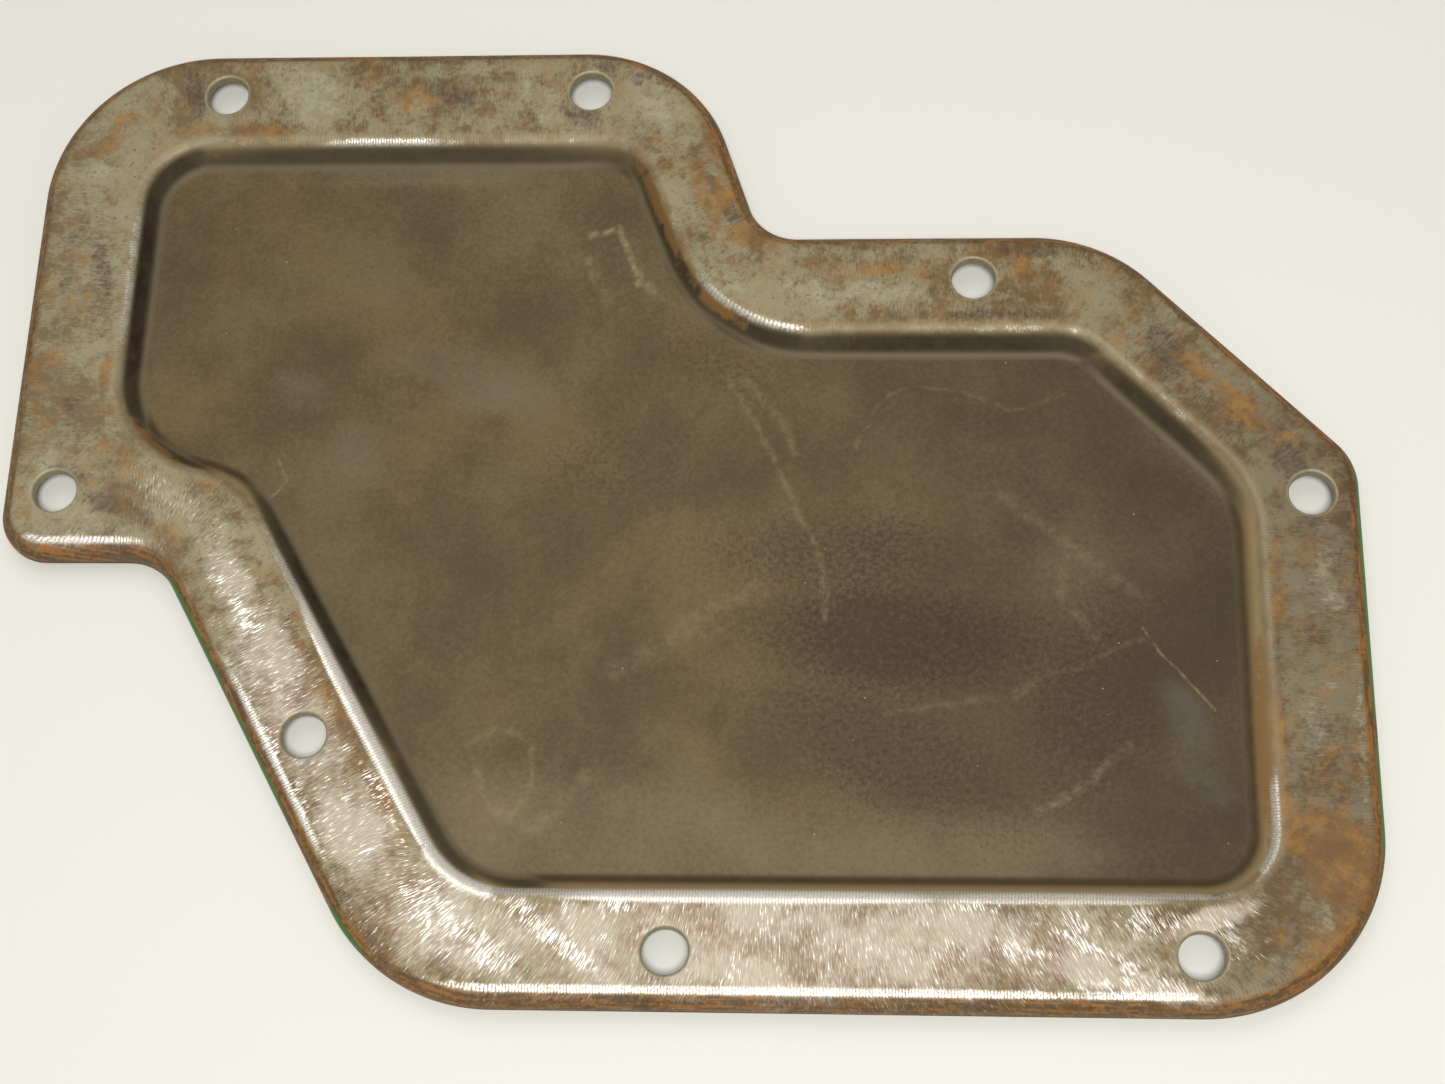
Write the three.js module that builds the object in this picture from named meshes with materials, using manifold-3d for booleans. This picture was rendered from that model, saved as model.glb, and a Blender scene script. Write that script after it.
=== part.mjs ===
// Pressed steel housing cover: one shallow pan stamped from a single sheet, lying inside face up.
// Units are millimetres and +Z is up. The origin is on the plane that the cover rests on, under
// the middle of its bounding box. +X is the long way of the cover.
import * as THREE from 'three';
import { mergeVertices } from 'three/addons/utils/BufferGeometryUtils.js';
import Module from 'manifold-3d';

// ---------------------------------------------------------------- driving dimensions

const SHEET = 2.5; // thickness of the sheet
const RECESS_DEPTH = 6.0; // from the gasket face down to the recess floor
const WALL_ANGLE = THREE.MathUtils.degToRad(57); // slope of the recess wall
const MOUTH_BEND = 3.6; // upper bend radius between gasket face and wall
const FLOOR_BEND = 3.4; // upper bend radius between wall and floor
const LIP_BEND = 3.9; // outer bend radius of the turned-down rim
const LIP_DROP = 5.5; // from the gasket face down to the cut edge of the rim
const HOLE_DIAMETER = 10.3; // clearance for a 3/8 inch bolt

// Corners in plan, counter-clockwise, as [x, y, radius]. The sides between them are straight.
const RIM_CORNERS = [
  [-60.25, -119.75, 42],
  [158.5, -119.75, 41],
  [158.5, 8.5, 15],
  [101.5, 67, 39],
  [20, 67, 12.5],
  [2, 119.75, 37.5],
  [-158.5, 119.75, 40.5],
  [-158.5, -16.25, 11.5],
  [-119.75, -16.25, 13],
];

// The line where the gasket face starts to bend down into the recess, corner for corner.
const MOUTH_CORNERS = [
  [-45.75, -96.5, 25],
  [136.5, -96, 17.5],
  [136.75, 3, 30.5],
  [97.25, 43.25, 17],
  [11, 43.5, 32],
  [-9, 95.5, 17],
  [-135.75, 95.75, 18.5],
  [-136, 9, 29],
  [-103.25, 1.25, 22.5],
];

const BOLT_HOLES = [
  [-114.75, 107.25],
  [-23, 107.5],
  [71, 54.75],
  [147.25, -0.5],
  [-145.75, 0],
  [-81, -59.5],
  [2.25, -107.5],
  [117.5, -107.25],
];

// Facets
const CORNER_STEPS = 8; // along each rounded corner
const BEND_STEPS = 4; // across each bend of the sheet
const HOLE_SIDES = 32;

// ---------------------------------------------------------------- levels and runs

const FLOOR_TOP = SHEET;
const FLANGE_UNDER = RECESS_DEPTH;
const GASKET_FACE = RECESS_DEPTH + SHEET;
const LIP_EDGE = GASKET_FACE - LIP_DROP;

const BENDS = MOUTH_BEND + FLOOR_BEND;
const WALL_LENGTH = (RECESS_DEPTH - BENDS * (1 - Math.cos(WALL_ANGLE))) / Math.sin(WALL_ANGLE);
const WALL_RUN = BENDS * Math.sin(WALL_ANGLE) + WALL_LENGTH * Math.cos(WALL_ANGLE);

// ---------------------------------------------------------------- outlines in plan

function directionBetween([x0, y0], [x1, y1]) {
  return new THREE.Vector2(x1 - x0, y1 - y0).normalize();
}

function leftOf(direction) {
  return new THREE.Vector2(-direction.y, direction.x);
}

// A rounded outline moved inwards by `inset`, as a ring of points at height z. Every ring made
// from the same corners, or from as many corners, has the same number of points.
function ring(corners, inset, z) {
  const count = corners.length;
  return corners.flatMap((corner, i) => {
    const before = directionBetween(corners[(i + count - 1) % count], corner);
    const after = directionBetween(corner, corners[(i + 1) % count]);
    const turn = Math.atan2(before.cross(after), before.dot(after));
    const side = Math.sign(turn);
    const radius = corner[2] - side * inset;

    const apex = leftOf(before).add(leftOf(after));
    apex.multiplyScalar(inset / (1 + before.dot(after)));
    apex.add(new THREE.Vector2(corner[0], corner[1]));

    const start = apex.clone().addScaledVector(before, -radius * Math.tan(Math.abs(turn) / 2));
    const centre = start.clone().addScaledVector(leftOf(before), side * radius);
    return Array.from({ length: CORNER_STEPS + 1 }, (_, step) => {
      const point = start.clone().rotateAround(centre, (turn * step) / CORNER_STEPS);
      return new THREE.Vector3(point.x, point.y, z);
    });
  });
}

// ---------------------------------------------------------------- section of the sheet

// Angles across a bend, from the first to the last.
function bendAngles(first, last) {
  const span = last - first;
  return Array.from({ length: BEND_STEPS + 1 }, (_, step) => first + (span * step) / BEND_STEPS);
}

// Section of the recess wall from the mouth inwards, as [inset from the mouth, height]. The two
// faces of the sheet bend about the same centres, so it keeps its thickness.
function wallSection(mouthRadius, floorRadius) {
  const mouthBend = bendAngles(0, WALL_ANGLE).map((angle) => [
    mouthRadius * Math.sin(angle),
    GASKET_FACE - MOUTH_BEND + mouthRadius * Math.cos(angle),
  ]);
  const floorBend = bendAngles(WALL_ANGLE, 0).map((angle) => [
    WALL_RUN - floorRadius * Math.sin(angle),
    FLOOR_TOP + FLOOR_BEND - floorRadius * Math.cos(angle),
  ]);
  return [...mouthBend, ...floorBend];
}

// Section of the turned-down rim from the gasket face outwards, as [inset from the rim, height].
function lipSection(radius) {
  const inset = LIP_BEND - radius;
  const bend = bendAngles(0, Math.PI / 2).map((angle) => [
    inset + radius * (1 - Math.sin(angle)),
    GASKET_FACE - LIP_BEND + radius * Math.cos(angle),
  ]);
  return [...bend, [inset, LIP_EDGE]];
}

// ---------------------------------------------------------------- solids

// Rings in order, from the middle of the upper face over the rim to the middle of the lower face.
function sheetRings() {
  const mouthRing = ([inset, z]) => ring(MOUTH_CORNERS, inset, z);
  const rimRing = ([inset, z]) => ring(RIM_CORNERS, inset, z);
  return [
    ...wallSection(MOUTH_BEND, FLOOR_BEND).reverse().map(mouthRing),
    ...lipSection(LIP_BEND).map(rimRing),
    ...lipSection(LIP_BEND - SHEET).reverse().map(rimRing),
    ...wallSection(MOUTH_BEND - SHEET, FLOOR_BEND + SHEET).map(mouthRing),
  ];
}

function pressedSheet() {
  const rings = sheetRings();
  const size = rings[0].length;
  const lastRing = (rings.length - 1) * size;
  const triangles = [];

  for (let level = 0; level < rings.length - 1; level += 1) {
    for (let i = 0; i < size; i += 1) {
      const next = (i + 1) % size;
      const [a, b] = [level * size + i, level * size + next];
      const [c, d] = [a + size, b + size];
      triangles.push(a, c, d, a, d, b);
    }
  }

  const floorUp = THREE.ShapeUtils.triangulateShape(rings[0], []);
  const floorDown = THREE.ShapeUtils.triangulateShape(rings[rings.length - 1], []);
  floorUp.forEach(([a, b, c]) => triangles.push(a, b, c));
  floorDown.forEach(([a, b, c]) => triangles.push(lastRing + a, lastRing + c, lastRing + b));

  const geometry = new THREE.BufferGeometry().setFromPoints(rings.flat());
  geometry.setIndex(triangles);
  return geometry;
}

function boltHole([x, y]) {
  const radius = HOLE_DIAMETER / 2;
  const geometry = new THREE.CylinderGeometry(radius, radius, 4 * SHEET, HOLE_SIDES);
  geometry.rotateX(Math.PI / 2);
  geometry.translate(x, y, GASKET_FACE - SHEET / 2);
  return geometry;
}

const wasm = await Module();
wasm.setup();

function toManifold(geometry) {
  geometry.deleteAttribute('normal');
  geometry.deleteAttribute('uv');
  const merged = mergeVertices(geometry, 1e-5);
  return new wasm.Manifold(new wasm.Mesh({
    numProp: 3,
    vertProperties: merged.attributes.position.array,
    triVerts: new Uint32Array(merged.index.array),
  }));
}

function toGeometry(manifold) {
  const mesh = manifold.getMesh();
  const geometry = new THREE.BufferGeometry();
  geometry.setAttribute('position', new THREE.BufferAttribute(mesh.vertProperties, 3));
  geometry.setIndex(new THREE.BufferAttribute(mesh.triVerts, 1));
  geometry.computeVertexNormals();
  return geometry;
}

function coverGeometry() {
  const sheet = toManifold(pressedSheet());
  return toGeometry(BOLT_HOLES.reduce((cover, hole) => cover.subtract(toManifold(boltHole(hole))), sheet));
}

// ---------------------------------------------------------------- the cover

const wornSteel = new THREE.MeshStandardMaterial({ color: 0x72665a, roughness: 0.5, metalness: 0.8 });

const pan = new THREE.Mesh(coverGeometry(), wornSteel);
pan.name = 'cover_pan';

const cover = new THREE.Group();
cover.add(pan);

export default cover;
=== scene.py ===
"""A pressed steel housing cover lying inside face up: one thin sheet with a sunken floor, a gasket
flange with bolt holes and a turned-down rim. Lengths in the tables are in millimetres, in the
frame of the CAD model; MM turns them into Blender's metres."""
import math

import bpy
import numpy as np
from mathutils import Matrix, Vector, noise
from mathutils.geometry import delaunay_2d_cdt
from mathutils.kdtree import KDTree


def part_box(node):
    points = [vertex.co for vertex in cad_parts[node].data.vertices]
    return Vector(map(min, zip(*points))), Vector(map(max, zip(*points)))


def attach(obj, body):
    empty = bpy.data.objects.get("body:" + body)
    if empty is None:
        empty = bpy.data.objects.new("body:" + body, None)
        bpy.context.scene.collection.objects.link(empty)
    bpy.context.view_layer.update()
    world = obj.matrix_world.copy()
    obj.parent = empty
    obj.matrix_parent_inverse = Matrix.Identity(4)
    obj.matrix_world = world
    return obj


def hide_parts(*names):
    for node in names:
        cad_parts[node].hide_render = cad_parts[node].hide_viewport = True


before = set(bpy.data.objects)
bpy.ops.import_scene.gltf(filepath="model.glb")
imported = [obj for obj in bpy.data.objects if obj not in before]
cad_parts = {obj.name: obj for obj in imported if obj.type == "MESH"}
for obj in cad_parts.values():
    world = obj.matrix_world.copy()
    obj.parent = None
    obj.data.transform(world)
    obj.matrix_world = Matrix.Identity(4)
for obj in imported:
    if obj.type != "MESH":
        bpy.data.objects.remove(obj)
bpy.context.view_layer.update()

MM = 0.001
NODE = "cover_pan"

# ------------------------------------------------------------------ driving dimensions

LOW, HIGH = (np.array(corner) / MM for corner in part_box(NODE))

SHEET = 2.5
MOUTH_BEND = 3.6
FLOOR_BEND = 3.4
WALL_ANGLE = math.radians(57)
LIP_BEND = 3.9
LIP_DROP = 5.5
HOLE_RADIUS = 5.15
HOLE_ROLLOVER = 0.75

GASKET_FACE = HIGH[2]
FLANGE_UNDER = GASKET_FACE - SHEET
FLOOR_UNDER = LOW[2]
FLOOR_TOP = FLOOR_UNDER + SHEET
LIP_EDGE = GASKET_FACE - LIP_DROP

RECESS_DEPTH = GASKET_FACE - FLOOR_TOP
BENDS = MOUTH_BEND + FLOOR_BEND
WALL_LENGTH = (RECESS_DEPTH - BENDS * (1 - math.cos(WALL_ANGLE))) / math.sin(WALL_ANGLE)
WALL_RUN = BENDS * math.sin(WALL_ANGLE) + WALL_LENGTH * math.cos(WALL_ANGLE)

# Corners in plan, counter-clockwise, as (x, y, radius).
RIM_CORNERS = [
    (-60.25, -119.75, 42),
    (158.5, -119.75, 41),
    (158.5, 8.5, 15),
    (101.5, 67, 39),
    (20, 67, 12.5),
    (2, 119.75, 37.5),
    (-158.5, 119.75, 40.5),
    (-158.5, -16.25, 11.5),
    (-119.75, -16.25, 13),
]
MOUTH_CORNERS = [
    (-45.75, -96.5, 25),
    (136.5, -96, 17.5),
    (136.75, 3, 30.5),
    (97.25, 43.25, 17),
    (11, 43.5, 32),
    (-9, 95.5, 17),
    (-135.75, 95.75, 18.5),
    (-136, 9, 29),
    (-103.25, 1.25, 22.5),
]
BOLT_HOLES = [
    (-114.75, 107.25),
    (-23, 107.5),
    (71, 54.75),
    (147.25, -0.5),
    (-145.75, 0),
    (-81, -59.5),
    (2.25, -107.5),
    (117.5, -107.25),
]

# Mesh fineness
COLUMN_SPACING = 1.25
BEND_STEPS = 8
FLANGE_SPACING = 1.6
FLOOR_SPACING = 3.0
HOLE_SIDES = 72

# Unevenness of the pressing and relief of its finish
WAVE_SIZE = 45.0
FLANGE_DIP = 0.15
FLOOR_RISE = 0.25
RELIEF = 0.022
PAINT_RELIEF = 0.05
CHATTER_PITCH = 0.7
STROKE_WIDTH = 0.28
STROKE_LENGTH = 2.1

# The sanding marks run straight across the flange, except below this y, where they lean by (x, lean)
BOTTOM_FLANGE = -80
SANDING_LEAN = [
    (-70, 0.0),
    (-30, -0.7),
    (25, 0.0),
    (85, 0.55),
    (125, 0.55),
    (150, 0.1),
]

# Specular level of everything that isn't bare metal
SHEEN_LEVEL = 0.3

# Stage, camera and sky: the lens and the sensor in millimetres, places and sizes in metres
STAGE_HALF = 12.0
CAMERA_PLACE = Vector((46.9, -210.7, 522.6)) * MM
CAMERA_PITCH = math.radians(-21.05)
CAMERA_YAW = math.radians(-3.56)
CAMERA_ROLL = math.radians(-0.08)
CAMERA_LENS = 59.8
SENSOR_WIDTH = 36.0
SKY_COLOUR = (1.0, 0.99, 0.95, 1)
SKY_STRENGTH = 0.28


# ------------------------------------------------------------------ marks, painted shade and painted highlights on the surface

# Patches as (x, y, half length, half width, angle in degrees, strength), with soft edges.
RUST = [
    (-142, 96, 13, 4, 50, 0.8),
    (-112, 97, 12, 2.5, 0, 1.0),
    (-65, 106, 13, 4, 14, 0.6),
    (-38, 106, 10, 4, -26, 0.6),
    (10, 88, 18, 2.5, -66, 1.1),
    (7, 79, 12, 4, -72, 0.9),
    (19, 66, 7, 3, -30, 0.9),
    (39, 58, 22, 2.5, -3, 0.7),
    (85, 55, 9, 4, -40, 0.6),
    (103, 42, 9, 5, -44, 0.5),
    (130, 24, 22, 2, -43, 0.8),
    (133, 20, 8, 4, -30, 0.8),
    (157, -45, 40, 1.5, 90, 1.0),
    (138, -25, 13, 2, -93, 0.9),
    (134.5, -59, 24, 3, 90, 1.2),
    (148, -87, 15, 10, -52, 1.3),
    (148, -60, 26, 6, 90, 0.35),
    (146, -104, 16, 3, 41, 1.0),
    (-150, 25, 18, 3, -87, 0.5),
    (-154, 29, 15, 2, -85, 0.8),
    (-147, 50, 7, 4, 90, 0.5),
    (-79, -45, 10, 2, -63, 0.9),
    (-71, -60, 26, 2.2, -58, 1.0),
    (-100, -22, 14, 2, -50, 0.6),
    (-153, -1, 8, 2, -72, 0.6),
    (-131, 8, 8, 3, -40, 0.6),
    (-122, 11, 16, 1.6, -42, 0.9),
    (-3, 72, 22, 1.8, -66, 1.0),
    (11, 48, 8, 1.4, -38, 1.0),
    (-137, 33, 12, 1.6, 90, 0.9),
    (110, -105, 4, 3, -74, 0.6),
    (65, -111, 5, 2, -13, 0.4),
    (132, -101, 8, 4, -63, 0.5),
]
RESIDUE = [
    (-95, 108, 13, 7, -15, 1.0),
    (-57, 114, 12, 2, 4, 1.0),
    (-93, 99.5, 9, 2, -4, 0.9),
    (-69, 105, 5, 2.5, 12, 0.8),
    (-36, 105, 9, 5, -60, 0.7),
    (-6, 104, 10, 5, -54, 0.9),
    (8, 59, 9, 5, -48, 1.1),
    (42, 51, 21, 4, -2, 0.8),
    (59, 64.5, 10, 1.2, -2, 1.0),
    (-148, 80, 18, 5, -104, 0.65),
    (-144, 49, 13, 5, -92, 0.5),
    (-148, 30, 22, 5, -87, 0.5),
    (-139, -6, 14, 4, -20, 0.8),
    (-148, 15, 9, 7, -93, 0.8),
    (-107, -10, 11, 5, -54, 0.8),
    (-91, -44, 10, 5, -67, 0.9),
    (-72, -76, 10, 3, -63, 0.8),
    (126, 37, 15, 2, -43, 0.7),
    (149, -22, 11, 5, -87, 0.6),
    (146, -57, 13, 5, -88, 0.5),
    (142, -98, 9, 4, -67, 0.6),
    (-18, -110, 10, 4, 0, 0.7),
    (31, -108, 14, 7, 6, 0.7),
    (154.5, -59, 18, 1.2, -91, 0.9),
]
STAIN = [
    (-123, 107, 9, 3, -74, 0.9),
    (-57, 106, 9, 4, -29, 0.9),
    (-25, 101, 8, 4, -35, 0.8),
    (11, 76, 11, 1.6, -60, 1.2),
    (76, 45, 14, 1.5, 1, 0.9),
    (83, 62, 14, 2, 0, 0.8),
    (115, 36, 8, 5, -58, 0.8),
    (142, 9, 7, 4, -55, 0.9),
    (137, -39, 22, 1, -93, 0.9),
    (-142, 60, 12, 3, -73, 0.7),
    (-149, 62, 14, 3, -95, 0.6),
    (-144, 21, 10, 3, -67, 0.6),
    (-130, -4, 9, 3, -22, 0.8),
    (-142, 4, 5, 3, -27, 0.8),
    (-97, -42, 7, 3, -78, 0.8),
    (-67, -98, 11, 2.5, -57, 0.8),
    (51, -98.5, 45, 1.5, 0, 0.8),
    (88, -104, 5, 4, -60, 0.6),
    (70, -118, 5, 1.5, 0, 1.0),
    (-12, 112, 16, 3, -10, 0.6),
]
# Where the patina is rubbed off to steel, made lighter also as a painted highlight.
RUBBED_AND_HIGHLIGHT = [
    (30, -106, 85, 13, 0, 0.9),
    (95, -111, 24, 3, -14, 1.2),
    (118, -100, 12, 2.5, 20, 1.2),
    (-50, -100, 24, 12, -35, 0.8),
    (-86, -51, 30, 9, -60, 0.85),
    (-68, -79, 14, 9, -55, 0.9),
    (-98, -28, 16, 5, -60, 0.7),
    (-137, -13, 18, 2, -3, 0.7),
    (-115, -4, 16, 4, -35, 0.45),
]
# Clusters of painted glints on the rubbed steel.
PAINTED_GLINT = [
    (94, -106, 15, 1.6, -27, 1.1),
    (103, -114, 13, 2.4, 3, 1.2),
    (106, -100, 5, 3.2, 26, 1.3),
    (112, -100, 6, 1.8, 6, 1.2),
    (91, -100, 3, 2.2, -41, 1.2),
    (79, -107, 8, 2.2, -9, 0.9),
    (124, -103, 6, 2, -50, 0.9),
    (66, -97, 16, 1.3, 0, 0.7),
    (-22, -105, 12, 2.2, -38, 1.2),
    (-34, -94, 8, 3, -45, 1.1),
    (-46, -87, 8, 3, -54, 1.1),
    (-50, -98, 12, 6, -50, 0.7),
    (-38, -107, 10, 4, -35, 0.9),
    (-9, -97, 6, 2, -21, 1.1),
    (-63, -72, 14, 1.8, -61, 0.8),
    (-86, -66, 24, 1.6, -60, 1.1),
    (-97, -31, 8, 2.5, -49, 0.9),
    (-89, -46, 10, 2, -60, 0.7),
    (-108, -19, 8, 2, -40, 0.5),
]
# Where painted shade darkens the recess wall, on the sides that face away from the light.
PAINTED_SHADE = [
    (-71, 90, 67, 4, 0, 0.75),
    (-131, 52, 42, 4, -88, 1.2),
    (-127, 86, 10, 5, 45, 1.0),
    (-2, 68, 24, 4, -65, 1.0),
    (18, 45, 18, 4, -31, 1.0),
    (65, 38, 42, 4, 0, 1.0),
    (114, 18, 24, 4, -48, 0.9),
    (-118, 8, 14, 4, -35, 0.8),
    (-79, -28, 42, 4, -60, 1.15),
    (-52, -74, 24, 4, -60, 0.7),
    (-36, -88, 14, 4, -30, 0.7),
]
# Where the bends carry painted highlights, on metal partly polished by handling; strengths above 1 widen the
# band.
POLISH_AND_HIGHLIGHT = [
    (-73, 92, 17, 3, -1, 1.0),
    (-30, 92, 26, 3, -1, 0.25),
    (2, 66, 18, 3, -66, 0.35),
    (18, 48, 16, 4, -31, 0.9),
    (-133, 58, 20, 3, -89, 0.6),
    (-118, 91, 14, 3, 20, 0.3),
    (-66, -58, 48, 4, -60, 1.5),
    (-44, -91, 12, 6, -35, 1.5),
    (20, -95.5, 60, 3, 0, 1.35),
    (85, -95.5, 40, 3, 0, 1.2),
    (134, -80, 14, 3, 80, 1.0),
    (79, 40, 24, 3, 0, 0.3),
    (115, 25, 14, 3, -50, 0.35),
    (-86, -67, 26, 2.5, -60, 1.0),
    (20, -116, 70, 2, 0, 1.3),
    (104, -116, 12, 2, 0, 1.0),
    (-139, -12.4, 15, 2, 0, 1.1),
]
PAINT = [
    (158.5, -22, 30, 3, 90, 1.2),
    (157.5, -72, 14, 2.5, 85, 0.9),
    (151, -102, 14, 3, 60, 0.4),
    (-109, -35, 14, 3, -60, 1.2),
    (-69, -104.5, 6, 3, -60, 1.2),
    (-92, -66, 20, 2.5, -60, 0.7),
    (60, -119, 90, 2, 0, 0.25),
]
MAROON = [
    (54, -34, 34, 14, -4, 1.0),
    (50, -60, 34, 14, -22, 0.7),
    (44, -15, 34, 12, -6, 0.6),
    (98, -48, 26, 18, 60, 0.7),
    (-12, 10, 22, 10, 20, 0.4),
    (10, 35, 20, 8, -30, 0.4),
]
# Grey-blue smears on the floor, with painted sheen.
BLUE_GREY_SHEEN = [
    (-91, 28, 9, 6, -58, 0.9),
    (-50, 31, 18, 7, -23, 0.9),
    (-75, 11, 10, 6, -41, 0.9),
    (-120, 80, 12, 4, 50, 0.6),
    (-62, 86, 60, 2.5, 0, 0.5),
    (-38, 33, 14, 8, -31, 0.6),
    (117, -53, 12, 5, -64, 1.0),
    (121, -67, 9, 5, -41, 0.8),
    (-126, 40, 30, 3, 90, 0.6),
]
# Pale haze on the floor, partly film and partly painted sheen along the foot of the wall and towards the
# front.
HAZE_AND_SHEEN = [
    (-66, 86.5, 28, 2.5, 0, 0.7),
    (-20, -80, 60, 13, -3, 0.9),
    (60, -84, 40, 9, 0, 0.7),
    (122, 8, 16, 3, -46, 0.4),
    (-30, 70, 26, 16, -20, 0.3),
    (85, -5, 30, 12, -60, 0.3),
]

# Pale rub marks on the recess floor, as (width, strength, corner points)
RUBS = [
    (1.6, 0.95, [(-22, 70), (-15, 72), (-9, 56)]),
    (2.2, 0.5, [(-10, 60), (-5, 53)]),
    (2.4, 0.5, [(-22, 63), (-17, 52)]),
    (1.3, 0.4, [(14, 30), (24, 10), (35, -14), (36, -30)]),
    (2.0, 0.35, [(17, 31), (26, 19), (29, 12)]),
    (0.9, 0.3, [(42, 14), (50, 27), (58, 29), (68, 28), (79, 23), (92, 27)]),
    (1.4, 0.4, [(-44, -60), (-37, -56), (-30, -59), (-29, -70), (-32, -77), (-39, -74), (-43, -64)]),
    (3.0, 0.3, [(-17, -65), (-22, -72), (-28, -79), (-36, -76)]),
    (2.0, 0.6, [(84, -74), (90, -71)]),
    (1.8, 0.4, [(92, -70), (104, -59)]),
    (1.4, 0.25, [(108, -34), (78, -47), (50, -52)]),
    (0.6, 0.8, [(108, -31), (112, -37), (124, -51)]),
    (3.2, 0.3, [(5, -30), (21, -22)]),
    (4.0, 0.3, [(-12, -42), (10, -30)]),
    (0.6, 0.7, [(-94, 10), (-92, 5), (-96, 1)]),
    (3.0, 0.25, [(78, 0), (96, -14), (108, -24)]),
    (2.0, 0.25, [(92, -14), (90, -24), (98, -34)]),
]


# ------------------------------------------------------------------ outlines in plan

def unit(vector):
    return vector / np.hypot(*vector)


def left_of(direction):
    return np.array([-direction[1], direction[0]])


def corner_arc(corners, i, inset):
    """Start, centre and signed turn of corner i of an outline moved inwards by inset."""
    x, y, radius = corners[i]
    here = np.array([x, y])
    before = unit(here - np.array(corners[i - 1][:2]))
    after = unit(np.array(corners[(i + 1) % len(corners)][:2]) - here)
    turn = math.atan2(before[0] * after[1] - before[1] * after[0], before @ after)
    side = math.copysign(1.0, turn)
    radius = radius - side * inset
    apex = here + (left_of(before) + left_of(after)) * inset / (1 + before @ after)
    start = apex - before * radius * math.tan(abs(turn) / 2)
    return start, start + left_of(before) * side * radius, turn


def turned(point, centre, angle):
    cos, sin = math.cos(angle), math.sin(angle)
    dx, dy = point - centre
    return centre + np.array([dx * cos - dy * sin, dx * sin + dy * cos])


def column_counts():
    """Steps along each corner and along each straight after it, the same for every outline."""
    arcs, straights = [], []
    count = len(RIM_CORNERS)
    for i in range(count):
        arc_length, straight_length = 0.0, 0.0
        for corners in (RIM_CORNERS, MOUTH_CORNERS):
            start, centre, turn = corner_arc(corners, i, 0.0)
            next_start = corner_arc(corners, (i + 1) % count, 0.0)[0]
            end = turned(start, centre, turn)
            arc_length = max(arc_length, abs(turn) * np.hypot(*(start - centre)))
            straight_length = max(straight_length, np.hypot(*(next_start - end)))
        arcs.append(math.ceil(arc_length / COLUMN_SPACING))
        straights.append(math.ceil(straight_length / COLUMN_SPACING))
    return arcs, straights


ARC_STEPS, STRAIGHT_STEPS = column_counts()


def outline(corners, inset):
    """A rounded outline moved inwards by inset, as an array of points in plan."""
    points = []
    count = len(corners)
    for i in range(count):
        start, centre, turn = corner_arc(corners, i, inset)
        next_start = corner_arc(corners, (i + 1) % count, inset)[0]
        for step in range(ARC_STEPS[i]):
            points.append(turned(start, centre, turn * step / ARC_STEPS[i]))
        end = turned(start, centre, turn)
        for step in range(STRAIGHT_STEPS[i]):
            points.append(end + (next_start - end) * step / STRAIGHT_STEPS[i])
    return np.array(points)


def inside(points, loop):
    """Which points lie inside a closed loop."""
    x, y = points[:, 0:1], points[:, 1:2]
    x0, y0 = loop[:, 0], loop[:, 1]
    x1, y1 = np.roll(x0, -1), np.roll(y0, -1)
    crosses = (y0 > y) != (y1 > y)
    rise = np.where(y1 == y0, 1e-9, y1 - y0)
    return (crosses & (x < (x1 - x0) * (y - y0) / rise + x0)).sum(axis=1) % 2 == 1


def nearest_on(points, loop):
    """Distance in plan from each point to a closed loop, how far along the loop that is, and its length."""
    tree = KDTree(len(loop))
    for i, (x, y) in enumerate(loop):
        tree.insert((x, y, 0), i)
    tree.balance()
    closest = np.array([tree.find((x, y, 0))[1] for x, y in points])
    lengths = np.hypot(*(np.roll(loop, -1, axis=0) - loop).T)
    starts = np.concatenate([[0.0], np.cumsum(lengths)[:-1]])
    distance, along = np.full(len(points), np.inf), np.zeros(len(points))
    for i in (closest - 1, closest):
        i = i % len(loop)
        a, b = loop[i], loop[(i + 1) % len(loop)]
        share = np.clip(((points - a) * (b - a)).sum(axis=1) / lengths[i] ** 2, 0, 1)
        gap = np.hypot(*(points - a - share[:, None] * (b - a)).T)
        closer = gap < distance
        along[closer] = (starts[i] + share * lengths[i])[closer]
        distance[closer] = gap[closer]
    return distance, along, lengths.sum()


# ------------------------------------------------------------------ the sheet's mesh

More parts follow.
